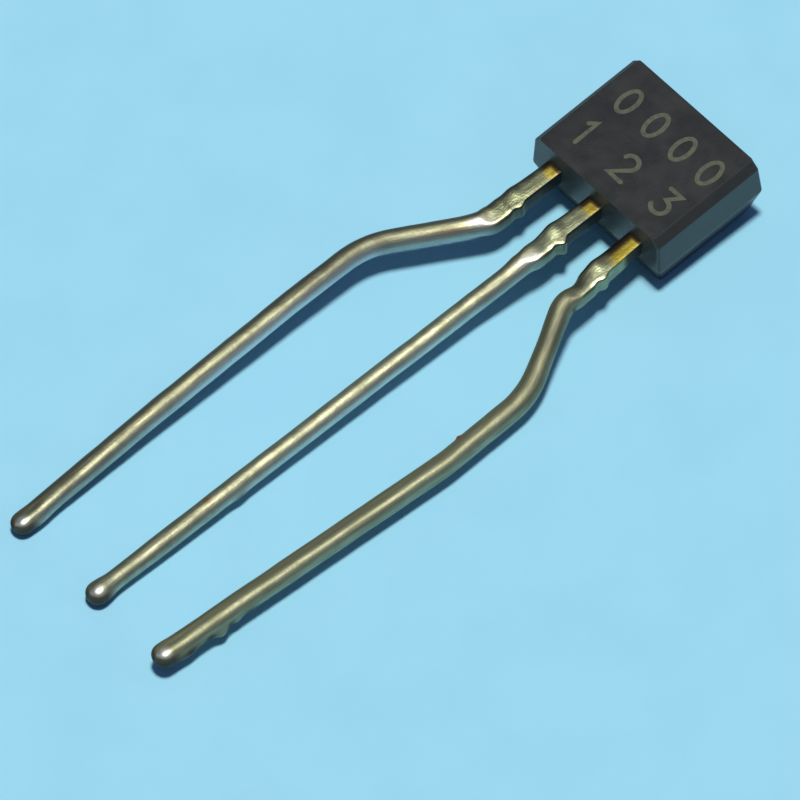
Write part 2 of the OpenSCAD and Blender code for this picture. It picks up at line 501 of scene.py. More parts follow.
@dataclass(frozen=True)
class SolderCoat:
    """Satin solder over a copper alloy lead, with the bare alloy where it leaves the body.

    Attributes:
        name: Name of the material.
        solder: Colour of the round shank's upper side.
        rod_roughness: Roughness of the round shank.
        flank: Strength of the painted reflection of the lit table on the shank's right side, from 0 to 1.
        flank_from: Distance from the body where that painted reflection is full.
        shade: Colour of the painted shade on the shank's left side, also used for its darker patches and
            pits.
        shade_to: How far to the right that painted shade reaches, from -1 to 1.
        coat_from: Distance from the body where the solder starts.
        coat_full: Distance from the body where it covers all.
        alloy_left: Where painted shade on the bare alloy starts towards the left, from -1 to 1.
        bar: Colour of the solder on the flat bar near the body.
        bar_dull: Colour of its dull patches.
        flank_reflection: Colour of that painted reflection, a pale bluish silver.
        tip: Colour of the painted highlight on the beads and the shine spots, where the solder is also
            smoother.
        alloy: Colour of the bare alloy.
        alloy_dull: Colour of its dull patches.
        alloy_shade: Colour of painted shade on the bare alloy.
        tarnish_and_shade: Colour of tarnished metal, also used as painted shade on the bar's rolled upper
            left edge.
        painted_shade_colour: Colour of the painted shade on the beads and under lumps, which is not
            metallic.
        stain: Colour of the rust-brown stains.
        flat_to: Distance from the body where the flat bar's look ends.
        round_from: Distance where the round shank's look is full.
        streak: Size of the streaks along the lead.
        streak_draw: How much they are drawn out along it.
        blotch: Size of the patches, in metres.
        pit: Size of the pits, in metres.
        relief: Depth of the streaks and pits, in metres.
        dulling: How much darker the streaks are.
        streak_in: Pattern values over which they darken.
        patch_in: Pattern values over which the shank's patches start.
        patch_share: Strength of those patches.
        bar_patch_in: Pattern values over which the bar's patches start.
        alloy_patch_in: Pattern values over which the bare alloy's patches start.
        pit_in: Pattern values over which the pits start.
        pit_share: Strength of their colour.
        pit_relief: Share of the pits in the relief; the streaks have the rest.
        ragged: How far the coat's edge wanders along the lead.
        flank_run: Distance over which the painted reflection grows.
        flank_start: Share of it before that.
        flank_reflection_fade: Distances from the body over which the painted reflection fades as the lead
            nears its own shadow.
        flank_left: Share of it that is left at the tip.
        flank_in: Places from left to right, -1 to 1, over which the flank starts.
        shade_run: Width of the painted shade's soft edge.
        alloy_run: Width of that painted shade's soft edge.
        root_dark: Length of painted shade on the bare alloy where it meets the body.
        bright_up: Heights on the lead over which that painted highlight starts.
        bright_right: Places from left to right over which it starts.
        coated_side: Places over which the solder on the right side starts, at the body too.
        bar_roughness: Roughness of the flat bar.
        streak_rough_in: Pattern values over which the streaks roughen.
        streak_roughness: Added roughness of the streaks.
        tarnish_roughness: Added roughness of tarnish.
        polish: How much smoother the solder is on the beads and the shine spots.
    """

    name: str
    solder: Colour
    rod_roughness: float
    flank: float
    flank_from: float
    shade: Colour
    shade_to: float
    coat_from: float
    coat_full: float
    alloy_left: float
    bar: Colour = (0.35, 0.37, 0.235)
    bar_dull: Colour = (0.27, 0.27, 0.175)
    flank_reflection: Colour = (0.74, 0.78, 0.78)
    tip: Colour = (0.84, 0.82, 0.74)
    alloy: Colour = (0.50, 0.385, 0.060)
    alloy_dull: Colour = (0.30, 0.215, 0.045)
    alloy_shade: Colour = (0.085, 0.055, 0.030)
    tarnish_and_shade: Colour = (0.055, 0.055, 0.052)
    painted_shade_colour: Colour = (0.034, 0.030, 0.020)
    stain: Colour = (0.48, 0.19, 0.07)
    flat_to: float = 1.55
    round_from: float = 2.05
    streak: float = 0.3
    streak_draw: float = 0.35
    blotch: float = 0.30 * MM
    pit: float = 0.05 * MM
    relief: float = 0.010 * MM
    dulling: float = 0.30
    streak_in: Span = (0.40, 0.68)
    patch_in: Span = (0.46, 0.60)
    patch_share: float = 0.45
    bar_patch_in: Span = (0.38, 0.62)
    alloy_patch_in: Span = (0.50, 0.72)
    pit_in: Span = (0.60, 0.75)
    pit_share: float = 0.4
    pit_relief: float = 0.4
    ragged: float = 0.24
    flank_run: float = 0.5
    flank_start: float = 0.5
    flank_reflection_fade: Span = (8.0, 13.0)
    flank_left: float = 0.3
    flank_in: Span = (0.45, 0.85)
    shade_run: float = 0.5
    alloy_run: float = 0.4
    root_dark: float = 0.07
    bright_up: Span = (0.1, 0.6)
    bright_right: Span = (-0.5, 0.1)
    coated_side: Span = (0.70, 0.76)
    bar_roughness: float = 0.33
    streak_rough_in: Span = (0.3, 0.75)
    streak_roughness: float = 0.06
    tarnish_roughness: float = 0.15
    polish: float = 0.08

    def build(self) -> bpy.types.Material:
        """Makes the material.

        Returns:
            The new material.
        """
        graph = NodeGraph(self.name)
        along, around_x, around_y, tarnish_and_shade, stain, tip, painted_shade = (graph.attribute(n) for n in SKIN_LAYERS)
        streak_place = graph.vector(graph.math("MULTIPLY", along, self.streak_draw), around_x, around_y)
        streak = graph.noise(self.streak, streak_place, detail=4.0)
        blotch = graph.noise(self.blotch, detail=3.0)
        pit = graph.noise(self.pit, detail=2.0)
        rod = graph.step(along, (self.flat_to, self.round_from))

        dull = graph.blend(self.dulling, self.solder, BLACK)
        solder = graph.blend(graph.step(streak, self.streak_in), self.solder, dull)
        patches = graph.step(blotch, self.patch_in, (0.0, self.patch_share))
        solder = graph.blend(patches, solder, self.shade)
        # Painted reflection: the right flank takes a pale bluish colour for the lit table that it mirrors,
        # weaker near the body and fading towards the tip.
        flank_grown = (self.flank_from - self.flank_run, self.flank_from)
        grown = graph.step(along, flank_grown, (self.flank_start * self.flank, self.flank))
        # The painted reflection fades towards the tip.
        worn = graph.step(along, self.flank_reflection_fade, (1.0, self.flank_left))
        flank_side = graph.step(around_x, self.flank_in)
        flank = graph.math("MULTIPLY", flank_side, graph.math("MULTIPLY", grown, worn))
        solder = graph.blend(flank, solder, self.flank_reflection)
        # Painted shade on the shank's left side, which faces the dark room.
        left = graph.step(around_x, (self.shade_to - self.shade_run, self.shade_to), FALLING)
        solder = graph.blend(left, solder, self.shade)
        bar = graph.blend(graph.step(blotch, self.bar_patch_in), self.bar, self.bar_dull)
        solder = graph.blend(rod, bar, solder)
        pits = graph.step(pit, self.pit_in, (0.0, self.pit_share))
        solder = graph.blend(pits, solder, self.shade)
        solder = graph.blend(stain, solder, self.stain)
        # Painted highlight on the upper right of the beads and shine spots, where the lamp's highlight
        # falls.
        upper = graph.step(around_y, self.bright_up)
        highlight_side = graph.math("MULTIPLY", upper, graph.step(around_x, self.bright_right))
        solder = graph.blend(graph.math("MULTIPLY", tip, highlight_side), solder, self.tip)

        alloy = graph.blend(graph.step(blotch, self.alloy_patch_in), self.alloy, self.alloy_dull)
        # Painted shade on the bare alloy's left side and where it meets the body.
        alloy_unshaded = graph.step(around_x, (self.alloy_left, self.alloy_left + self.alloy_run))
        alloy = graph.blend(alloy_unshaded, self.alloy_shade, alloy)
        alloy = graph.blend(graph.step(along, (0.0, self.root_dark)), self.alloy_shade, alloy)

        centred = graph.math("SUBTRACT", along, self.ragged / 2)
        coat_edge = graph.math("MULTIPLY_ADD", blotch, self.ragged, centred)
        coated = graph.step(coat_edge, (self.coat_from, self.coat_full))
        coated = graph.math("MAXIMUM", coated, graph.step(around_x, self.coated_side))
        # This dark layer holds real tarnish and duller stretches, and painted shade on the bar's rolled
        # upper left edge.
        skin = graph.blend(tarnish_and_shade, graph.blend(coated, alloy, solder), self.tarnish_and_shade)

        pit_height = graph.math("MULTIPLY", pit, self.pit_relief)
        height = graph.math("MULTIPLY_ADD", streak, 1 - self.pit_relief, pit_height)
        satin = graph.step(rod, RISING, (self.bar_roughness, self.rod_roughness))
        streaked = graph.step(streak, self.streak_rough_in, (0.0, self.streak_roughness))
        satin = graph.math("ADD", streaked, satin)
        satin = graph.math("MULTIPLY_ADD", tip, -self.polish, satin)
        graph.set(
            # Painted shade on the beads and under lumps, in a dark non-metallic colour.
            Base_Color=graph.blend(painted_shade, skin, self.painted_shade_colour),
            Metallic=graph.math("SUBTRACT", 1.0, painted_shade),
            Roughness=graph.math("MULTIPLY_ADD", tarnish_and_shade, self.tarnish_roughness, satin),
            Normal=graph.bump(height, self.relief),
        )
        graph.shader.inputs["Specular IOR Level"].default_value = 0.15
        return graph.material


@dataclass(frozen=True)
class LaserMark:
    """Olive mark that a laser leaves in dark epoxy.

    Attributes:
        colour: Colour of the mark.
        faded: Colour where it is weak.
        patch: Size of the weak patches, in metres.
        fade_in: Pattern values over which it weakens.
        grain: Size of its fine grain.
        grain_depth: Depth of that grain.
        roughness: Its roughness.
    """

    colour: Colour = (0.085, 0.090, 0.060)
    faded: Colour = (0.052, 0.056, 0.043)
    patch: float = 0.12 * MM
    fade_in: Span = (0.35, 0.7)
    grain: float = 0.02 * MM
    grain_depth: float = 0.001 * MM
    roughness: float = 0.62

    def build(self) -> bpy.types.Material:
        """Makes the material.

        Returns:
            The new material.
        """
        graph = NodeGraph("laser_mark")
        fade = graph.noise(self.patch)
        graph.set(
            Base_Color=graph.blend(graph.step(fade, self.fade_in), self.colour, self.faded),
            Roughness=self.roughness,
            Normal=graph.bump(graph.noise(self.grain), self.grain_depth),
        )
        return graph.material


@dataclass(frozen=True)
class PlainMetalOrPaste:
    """Simple finish of a sealed inner piece.

    Attributes:
        name: Name of the material.
        colour: Its colour.
        shade: Colour of the grain's low spots.
        metallic: How metallic it is, from 0 to 1.
        roughness: Its roughness.
        grain: Size of its fine grain, in metres.
    """

    name: str
    colour: Colour
    shade: Colour
    metallic: float
    roughness: float
    grain: float

    def build(self) -> bpy.types.Material:
        """Makes the material.

        Returns:
            The new material.
        """
        graph = NodeGraph(self.name)
        grain = graph.noise(self.grain)
        graph.set(
            Base_Color=graph.blend(graph.step(grain, HALF_AND_HALF), self.colour, self.shade),
            Roughness=self.roughness,
            Normal=graph.bump(grain, self.grain * 0.05),
        )
        graph.shader.inputs["Metallic"].default_value = self.metallic
        return graph.material


@dataclass(frozen=True)
class TableSheet:
    """Smooth pale blue sheet of the table.

    Attributes:
        base: Its colour.
        cloud: Colour of faint patches in it.
        patch: Size of those patches, in metres.
        roughness: Its roughness.
    """

    base: Colour = (0.337, 0.681, 0.934)
    cloud: Colour = (0.325, 0.660, 0.912)
    patch: float = 2.5 * MM
    roughness: float = 0.85

    def build(self) -> bpy.types.Material:
        """Makes the material.

        Returns:
            The new material.
        """
        graph = NodeGraph("table_sheet")
        cloud = graph.noise(self.patch)
        graph.set(
            Base_Color=graph.blend(graph.step(cloud, HALF_AND_HALF), self.base, self.cloud),
            Roughness=self.roughness,
        )
        graph.shader.inputs["Specular IOR Level"].default_value = 0.25
        return graph.material


# ---------------------------------------------------------------------------
# Mesh helpers
# ---------------------------------------------------------------------------


def new_object(
    name: str,
    bm: bmesh.types.BMesh,
    place: Matrix,
    material: bpy.types.Material,
) -> bpy.types.Object:
    """Turns a mesh in the straight frame into a placed object.

    Args:
        name: Name of the object.
        bm: The mesh, in millimetres; it is freed here.
        place: Move from the straight frame to the table.
        material: Finish of all its faces.

    Returns:
        The linked object, with its place in its vertices.
    """
    bm.transform(place)
    bmesh.ops.recalc_face_normals(bm, faces=bm.faces)
    mesh = bpy.data.meshes.new(name)
    bm.to_mesh(mesh)
    bm.free()
    mesh.materials.append(material)
    obj = bpy.data.objects.new(name, mesh)
    bpy.context.collection.objects.link(obj)
    return obj


def smooth_with_sharp_edges(bm: bmesh.types.BMesh, limit: float) -> None:
    """Smooths all faces and keeps the sharp edges.

    Args:
        bm: The mesh, which is changed.
        limit: Angle in degrees from which an edge stays sharp.
    """
    for face in bm.faces:
        face.smooth = True
    for edge in bm.edges:
        edge.smooth = edge.calc_face_angle(0.0) < math.radians(limit)


def mix(low: float, high: float, share: float) -> float:
    """Goes from low to high by the given share."""
    return low + (high - low) * share


def spread(part: float, low: float, high: float) -> float:
    """Place of a corner's centre: it crosses from low to high while the part passes zero."""
    return mix(low, high, min(1.0, max(0.0, 0.5 + part / CROSSING)))


def eased(value: float, low: float, high: float) -> float:
    """Smooth step of a value from 0 at low to 1 at high."""
    share = min(1.0, max(0.0, (value - low) / (high - low)))
    return share * share * (3 - 2 * share)


# ---------------------------------------------------------------------------
# Leads
# ---------------------------------------------------------------------------


@dataclass(frozen=True)
class LeadForm:
    """One formed lead.

    Attributes:
        role: Which lead it is.
        corners: Corner points of its centre line outside the body.
        bends: Bend radius at each inner corner.
        shank_d: Diameter of the solder-coated shank.
        bead_d: Diameter of the solder bead at the tip.
        inner_left: Half width inside the body towards the left.
        inner_right: Half width inside the body towards the right.
        inner_l: Length of the part inside the body that is wider than the bar.
        tarnish_to: How far the dark tarnish of the bar's right side runs.
        side_tarnish: Share of tarnish on that side from there to the round shank.
        stub_out: How far the cut dam bar's stub stands out to the right.
        roll: Radius of the bar's rolled upper left edge.
        left_out: How far the solder stands out on the bar's left side.
        finish: Its solder.
        lumps: Runs and pits in its solder.
        stains: Small rust-brown spots in its solder.
        painted_shade: Painted shade under its lumps, as dark non-metallic spots.
        film: Duller stretches of its solder.
        shine: Spots of painted highlight, where the solder is also smoother.
    """

    role: LeadRole
    corners: tuple[Point, ...]
    bends: tuple[float, ...]
    shank_d: float
    bead_d: float
    inner_left: float
    inner_right: float
    inner_l: float
    tarnish_to: float
    side_tarnish: float
    stub_out: float
    roll: float
    left_out: float
    finish: SolderCoat
    lumps: tuple[Lump, ...] = ()
    stains: tuple[Lump, ...] = ()
    painted_shade: tuple[Lump, ...] = ()
    film: tuple[Lump, ...] = ()
    shine: tuple[Lump, ...] = ()


@dataclass(frozen=True)
class Station:
    """One place on a lead's centre line.

    Attributes:
        along: Distance from the body along the line.
        centre: The place itself, in the straight frame.
        heading: Direction of the line there.
    """

    along: float
    centre: Vector
    heading: Vector


@dataclass(frozen=True)
class Section:
    """A lead's cross-section: a rectangle with round corners about its centre line.

    Attributes:
        left: Half width to the left.
        right: Half width to the right.
        up: Half height upwards.
        down: Half height downwards.
        corner: Radius of its corners.
        roll: Radius of the upper left corner, which the stamping tool rolled over.
    """

    left: float
    right: float
    up: float
    down: float
    corner: float
    roll: float

    def outline(self, count: int) -> list[Pair]:
        """Walks round the section from its right side upwards.

        Args:
            count: Number of points.

        Returns:
            Offsets to the right and up, in millimetres.
        """
        points = []
        for i in range(count):
            angle = 2 * math.pi * (i + 0.5) / count
            cos, sin = math.cos(angle), math.sin(angle)
            upper_left = eased(sin, *ROLL_UP) * eased(-cos, *ROLL_LEFT)
            bend = mix(self.corner, self.roll, upper_left)
            across = spread(cos, -(self.left - bend), self.right - bend)
            upward = spread(sin, -(self.down - bend), self.up - bend)
            points.append((across + bend * cos, upward + bend * sin))
        return points


@dataclass
class Lead:
    """A formed lead, swept as one skin from its inner end to the bead at its tip.

    Distances named along are measured from the body along the centre line.

    Attributes:
        form: How it is formed and coated.
        package: Sizes of the body and the lead frame.
        place: Move from the straight frame to the table.
        step: Distance between two rings of points.
        around: Number of points in a ring.
        inner_gap: Distance from the outer wall to the last ring inside the body.
        inner_edge: Radius of the bar's edges inside the body.
        coat_from: Where the solder coat starts to build up.
        coat_full: Where it is full.
        coat: Its added thickness.
        bare_in: How far the bare metal lies inside the nominal bar.
        stub_from: Where the cut dam bar's stub starts.
        stub_peak: Where it stands out most.
        stub_to: Where it ends.
        pressed_from: Where the flat stretch between bar and shank starts.
        pressed_full: Where it is full.
        pressed_half: Its half width.
        pressed_edge: Added radius of its edges.
        round_from: Where the bar starts to turn round.
        round_full: Where the shank is round.
        left_from: Where the solder on the bar's left side starts to thin out.
        left_to: Where it ends.
        top_up: Added height of the bar's solder.
        edge_r: Radius of the bar's edges.
        tip_run: Number of rings on the blunt end.
        bead_run: Length over which the bead grows.
        bead_blunt: How blunt its end is; 2 is a ball.
        ripple: Height of the solder's ripple.
        ripple_draw: How much the ripple is drawn out along the lead.
        ripple_turn: How fast it changes round the lead.
        ripple_from: Where it starts.
        ripple_full: Where it is full.
        swell_least: Corner radius below which the solder doesn't swell, as at the tip's point.
        sharp_deg: Angle from which an edge stays sharp.
        bead_shade_run: Length of the painted shade behind the bead's centre.
        bead_shade_share: Share of painted shade on the bead's lower half.
        bead_shade_up: Sines of the direction over which it fades out towards the top.
        painted_shade_most: Greatest share of all painted shade.
        cut_in: Distances from the right edge over which the cut side's tarnish starts.
        cut_tarnish: Share of tarnish on the cut right side near the body.
        cut_fade: Places before and past its end over which that share fades.
        roll_in: Distances from the left edge, in radii of the rolled edge, for its painted shade.
        roll_shade: Share of painted shade on the rolled upper left edge.
        bead_shine: Places before and past the bead's centre over which its painted highlight comes in.
        tip_along: Where the tip's bead has its centre; set while building.
    """

    form: LeadForm
    package: Package
    place: Matrix
    step: float = 0.05
    around: int = 48
    inner_gap: float = 0.3
    inner_edge: float = 0.02
    coat_from: float = 0.25
    coat_full: float = 0.9
    coat: float = 0.012
    bare_in: float = 0.006
    stub_from: float = 0.95
    stub_peak: float = 1.16
    stub_to: float = 1.36
    pressed_from: float = 1.25
    pressed_full: float = 1.5
    pressed_half: float = 0.268
    pressed_edge: float = 0.05
    round_from: float = 1.80
    round_full: float = 2.12
    left_from: float = 1.2
    left_to: float = 1.9
    top_up: float = 0.04
    edge_r: float = 0.035
    tip_run: int = 14
    bead_run: float = 0.45
    bead_blunt: float = 2.2
    ripple: float = 0.006
    ripple_draw: float = 1.4
    ripple_turn: float = 0.5
    ripple_from: float = 0.3
    ripple_full: float = 1.2
    swell_least: float = 0.03
    sharp_deg: float = 32.0
    bead_shade_run: float = 0.40
    bead_shade_share: float = 0.97
    bead_shade_up: Span = (0.5, 0.9)
    painted_shade_most: float = 0.95
    cut_in: Span = (0.045, 0.01)
    cut_tarnish: float = 0.95
    cut_fade: Span = (0.12, 0.08)
    roll_in: Span = (0.85, 0.35)
    roll_shade: float = 0.85
    bead_shine: Span = (0.15, 0.05)
    tip_along: float = field(init=False, default=0.0)

    def centre_line(self) -> list[Station]:
        """Samples the rounded centre line outside the body at an even step.

        Returns:
            The places in order, from the body to the centre of the tip's bead.
        """
        points = [Vector(c) for c in self.form.corners]
        dirs = [(b - a).normalized() for a, b in zip(points, points[1:])]
        cuts = [0.0] * len(points)
        for i, radius in enumerate(self.form.bends, start=1):
            cuts[i] = radius * math.tan(dirs[i - 1].angle(dirs[i]) / 2)
        stations: list[Station] = []
        along = 0.0
        for i, heading in enumerate(dirs):
            start = points[i] + heading * cuts[i]
            end = points[i + 1] - heading * cuts[i + 1]
            run = (end - start).dot(heading)
            count = max(1, round(run / self.step))
            for k in range(count):
                stations.append(Station(along + run * k / count, start.lerp(end, k / count), heading))
            along += run
            if i + 1 < len(dirs):
                ahead = dirs[i + 1]
                radius, turn = self.form.bends[i], heading.angle(ahead)
                inward = (ahead - heading * heading.dot(ahead)).normalized()
                count = max(2, round(radius * turn / self.step))
                for k in range(count):
                    part = turn * k / count
                    centre = end + inward * radius * (1 - math.cos(part))
                    centre += heading * radius * math.sin(part)
                    bent = heading * math.cos(part) + inward * math.sin(part)
                    stations.append(Station(along + radius * part, centre, bent))
                along += radius * turn
            else:
                stations.append(Station(along, end, heading))
        return stations

    def section(self, along: float) -> Section:
        """Works out the cross-section at a distance from the body.

        Args:
            along: That distance.

        Returns:
            The section there.
        """
        box = self.package
        rounded = eased(along, self.round_from, self.round_full)
        coated = eased(along, self.coat_from, self.coat_full) * self.coat
        pressed = eased(along, self.pressed_from, self.pressed_full)
        side = mix(box.lead_w / 2 - self.bare_in + coated, self.pressed_half, pressed)
        height = box.lead_t / 2 - self.bare_in + coated
        stub_grown = eased(along, self.stub_from, self.stub_peak)
        stub_left = 1 - eased(along, self.stub_peak, self.stub_to)
        right = side + self.form.stub_out * min(stub_grown, stub_left)
        left = side + self.form.left_out * (1 - eased(along, self.left_from, self.left_to))
        corner = self.edge_r + coated + self.pressed_edge * pressed
        radius = self.radius(along)
        return Section(
            left=mix(left, radius, rounded),
            right=mix(right, radius, rounded),
            up=mix(height + self.top_up * (1 - pressed), radius, rounded),
            down=mix(height, radius, rounded),
            corner=mix(corner, radius, rounded),
            roll=mix(self.form.roll, radius, rounded),
        )

    def radius(self, along: float) -> float:
        """Works out the round shank's radius, with the bead and the blunt end at its tip.

        Args:
            along: Distance from the body.

        Returns:
            The radius, in millimetres.
        """
        shank_r, bead_r = self.form.shank_d / 2, self.form.bead_d / 2
        if along <= self.tip_along:
            return mix(shank_r, bead_r, eased(along, self.tip_along - self.bead_run, self.tip_along))
        share = min(1.0, (along - self.tip_along) / (self.package.tip_d / 2))
        return max(SMALLEST_R, bead_r * (1 - share**self.bead_blunt) ** (1 / self.bead_blunt))

    def swell(self, along: float, angle: float, fade: float) -> float:
        """Adds up the ripple of the solder and its lumps at one point of the skin.

        Args:
            along: Distance from the body.
            angle: Direction round the lead in radians.
            fade: Share of the ripple that shows.

        Returns:
            The outward move, in millimetres.
        """
        seed = 7.0 * list(LeadRole).index(self.form.role)
        across, upward = math.cos(angle) * self.ripple_turn, math.sin(angle) * self.ripple_turn
        where = Vector((along * self.ripple_draw + seed, across, upward))
        move = self.ripple * fade * noise.fractal(where, 1.0, 2.0, 3)
        return move + self.spots(self.form.lumps, along, angle)

    def spots(self, lumps: tuple[Lump, ...], along: float, angle: float) -> float:
        """Adds up the heights of lumps or stains at one point of the skin.

        Args:
            lumps: The lumps or stains.
            along: Distance from the body.
            angle: Direction round the lead in radians.

        Returns:
            The sum, in millimetres for lumps and as a share for stains.
        """
        total = 0.0
        for lump in lumps:
            turn = (math.degrees(angle) - lump.angle + 180) % 360 - 180
            fall = ((along - lump.along) / lump.length) ** 2 + (turn / lump.spread) ** 2
            total += lump.height * math.exp(-fall)
        return total

    def bead_shade(self, along: float, angle: float) -> float:
        """Works out the painted shade on the tip's sides, its underside and the blunt end.

        Args:
            along: Distance from the body.
            angle: Direction round the lead in radians.

        Returns:
            Share of painted shade at that point of the skin.
        """
        ahead = min(1.0, max(0.0, along - self.tip_along) / (self.package.tip_d / 2))
        upward = math.sqrt(1 - ahead**2) * math.sin(angle)
        behind = eased(along, self.tip_along - self.bead_shade_run, self.tip_along)
        return self.bead_shade_share * behind * (1 - eased(upward, *self.bead_shade_up))

    def tarnish_and_shade(self, along: float, x: float, section: Section) -> float:
        """Works out the dark tarnish of the cut right side and the painted shade on the rolled upper left
        edge.

        Args:
            along: Distance from the body.
            x: Offset of the point to the right of the centre line.
            section: The section there.

        Returns:
            Share of that dark colour at that point of the skin.
        """
        end, roll = self.form.tarnish_to, self.form.roll
        side = eased(x, section.right - self.cut_in[0], section.right - self.cut_in[1])
        near = 1 - eased(along, end - self.cut_fade[0], end + self.cut_fade[1])
        flat = 1 - eased(along, self.round_from - 0.1, self.round_full)
        cut = side * max(self.cut_tarnish * near, self.form.side_tarnish * flat)
        # Painted shade on the rolled upper left edge.
        rolled = eased(-x, section.left - self.roll_in[0] * roll, section.left - self.roll_in[1] * roll)
        rolled *= 1 - eased(along, self.pressed_from + 0.05, self.left_to)
        return max(cut, self.roll_shade * rolled)

    def inner_rings(self) -> list[tuple[float, Section]]:
        """Lists the sections inside the body.

        Returns:
            Pairs of a place on Y and its section, from the inner end to the outer wall.
        """
        box, form, edge = self.package, self.form, self.inner_edge
        half, bar = box.lead_t / 2, box.lead_w / 2
        wide = Section(form.inner_left, form.inner_right, half, half, edge, edge)
        slim = Section(bar, bar, half, half, edge, edge)
        end = box.pad_y + form.inner_l
        return [(end, wide), (box.pad_y, wide), (box.pad_y, slim), (self.inner_gap, slim)]

    def outer_stations(self) -> list[Station]:
        """Lists the places outside the body and notes where the tip's bead has its centre.

        Returns:
            The places in order, from the body to the tip's blunt end.
        """
        stations = self.centre_line()
        last = stations[-1]
        self.tip_along = last.along
        for k in range(1, self.tip_run + 1):
            reach = self.package.tip_d / 2 * math.sin(math.pi / 2 * k / self.tip_run)
            stations.append(Station(last.along + reach, last.centre + last.heading * reach, last.heading))
        return stations

    def build(self) -> bpy.types.Object:
        """Returns:
            The placed skin.
        """
        name = f"{self.form.role.value}_lead_skin"
        bm = bmesh.new()
        layers = {n: bm.verts.layers.float.new(n) for n in SKIN_LAYERS}
        stations = self.outer_stations()
        start_x, lead_z = self.form.corners[0][0], self.package.lead_z
        rings = []
        for y, section in self.inner_rings():
            station = Station(-y, Vector((start_x, y, lead_z)), Vector((0, -1, 0)))
            rings.append(self.ring(bm, layers, station, section))
        for station in stations:
            rings.append(self.ring(bm, layers, station, self.section(station.along)))
        for near, far in zip(rings, rings[1:]):
            for i in range(len(near)):
                j = (i + 1) % len(near)
                bm.faces.new((near[i], near[j], far[j], far[i]))
        bm.faces.new(rings[0])
        bm.faces.new(rings[-1])
        smooth_with_sharp_edges(bm, self.sharp_deg)
        obj = new_object(name, bm, self.place, self.form.finish.build())
        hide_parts(f"{self.form.role.value}_lead")
        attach(obj, ROOT)
        return obj

    def ring(
        self,
        bm: bmesh.types.BMesh,
        layers: dict[str, object],
        station: Station,
        section: Section,
    ) -> list[bmesh.types.BMVert]:
        """Adds one ring of points round the centre line.

        Args:
            bm: The mesh being built.
            layers: Number layers that the finish reads.
            station: Where the ring stands.
            section: Its outline.

        Returns:
            The ring's vertices in order.
        """
        side = Vector((0, 0, 1)).cross(station.heading).normalized()
        up = station.heading.cross(side)
        fade = eased(station.along, self.ripple_from, self.ripple_full)
        swollen = station.along > 0 and section.corner > self.swell_least
        bead_in, bead_out = self.tip_along - self.bead_shine[0], self.tip_along + self.bead_shine[1]
        bead = eased(station.along, bead_in, bead_out)
        ring = []
        for x, y in section.outline(self.around):
            angle = math.atan2(y, x)
            if swollen and math.hypot(x, y) > SMALLEST_OFFSET:
                out = Vector((x, y)).normalized()
                swell = self.swell(station.along, angle, fade)
                x, y = x + out.x * swell, y + out.y * swell
            vert = bm.verts.new(station.centre + side * x + up * y)
            vert[layers["along"]] = station.along
            vert[layers["around_x"]] = math.cos(angle)
            vert[layers["around_y"]] = math.sin(angle)
            # Painted shade under lumps and on the bead.
            painted_shade = self.spots(self.form.painted_shade, station.along, angle) + self.bead_shade(station.along, angle)
            vert[layers["painted_shade"]] = min(self.painted_shade_most, painted_shade)
            film = self.spots(self.form.film, station.along, angle)
            vert[layers["tarnish_and_shade"]] = min(1.0, self.tarnish_and_shade(station.along, x, section) + film)
            # Painted highlight on the bead and at the shine spots.
            shine = self.spots(self.form.shine, station.along, angle)
            vert[layers["tip"]] = min(1.0, bead + shine)
            vert[layers["stain"]] = min(1.0, self.spots(self.form.stains, station.along, angle))
            ring.append(vert)
        return ring


# ---------------------------------------------------------------------------
# Body and marking
# ---------------------------------------------------------------------------


@dataclass
class MouldedBody:
    """The epoxy body: two drafted halves, side bevels and soft mould edges.

    Attributes:
        package: Sizes of the body.
        place: Move from the straight frame to the table.
        finish: Its epoxy.
        corner_soft: Radius of the upright edges.
        edge_soft: Radius of the faces' edges.
        parting_soft: Radius of the parting line's ridge.
        segments: Number of strips in a rounded edge.
    """

    package: Package
    place: Matrix
    finish: bpy.types.Material
    corner_soft: float = 0.07
    edge_soft: float = 0.018
    parting_soft: float = 0.03
    segments: int = 4

    def levels(self) -> list[tuple[float, float, float]]:
        """Lists the body's levels.

        Returns:
            The height, half width and inset of both ends, from the back face upwards.
        """
        box = self.package
        half = box.body_w / 2
        shoulder = box.body_t - box.bevel_d
        shoulder_in = (shoulder - box.parting_z) * math.tan(math.radians(box.front_draft))
        return [
            (0.0, half - box.back_inset, box.back_inset),
            (box.parting_z, half, 0.0),
            (shoulder, half - shoulder_in, shoulder_in),
            (box.body_t, half - box.front_inset - box.bevel_w, box.front_inset),
        ]

    def build(self) -> bpy.types.Object:
        """Returns:
            The placed skin.
        """
        bm = bmesh.new()
        rings = []
        for z, half, inset in self.levels():
            low, high = inset, self.package.body_h - inset
            corners = ((-half, low), (half, low), (half, high), (-half, high))
            rings.append([bm.verts.new((x, y, z)) for x, y in corners])
        for below, above in zip(rings, rings[1:]):
            for i in range(4):
                j = (i + 1) % 4
                bm.faces.new((below[i], below[j], above[j], above[i]))
        bm.faces.new(rings[0][::-1])
        bm.faces.new(rings[-1])
        weights = bm.edges.layers.float.new("bevel_weight_edge")
        level = {vert: i for i, ring in enumerate(rings) for vert in ring}
        soft = {0: self.edge_soft, 1: self.parting_soft, 2: self.edge_soft, 3: self.edge_soft}
        for edge in bm.edges:
            a, b = (level[v] for v in edge.verts)
            edge[weights] = 1.0 if a != b else soft[a] / self.corner_soft
        obj = new_object("moulded_body_skin", bm, self.place, self.finish)
        bevel = obj.modifiers.new("mould_edges", "BEVEL")
        bevel.limit_method = "WEIGHT"
        bevel.width = self.corner_soft * MM
        bevel.segments = self.segments
        bevel.harden_normals = True
        for poly in obj.data.polygons:
            poly.use_smooth = True
        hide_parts("body")
        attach(obj, ROOT)
        return obj


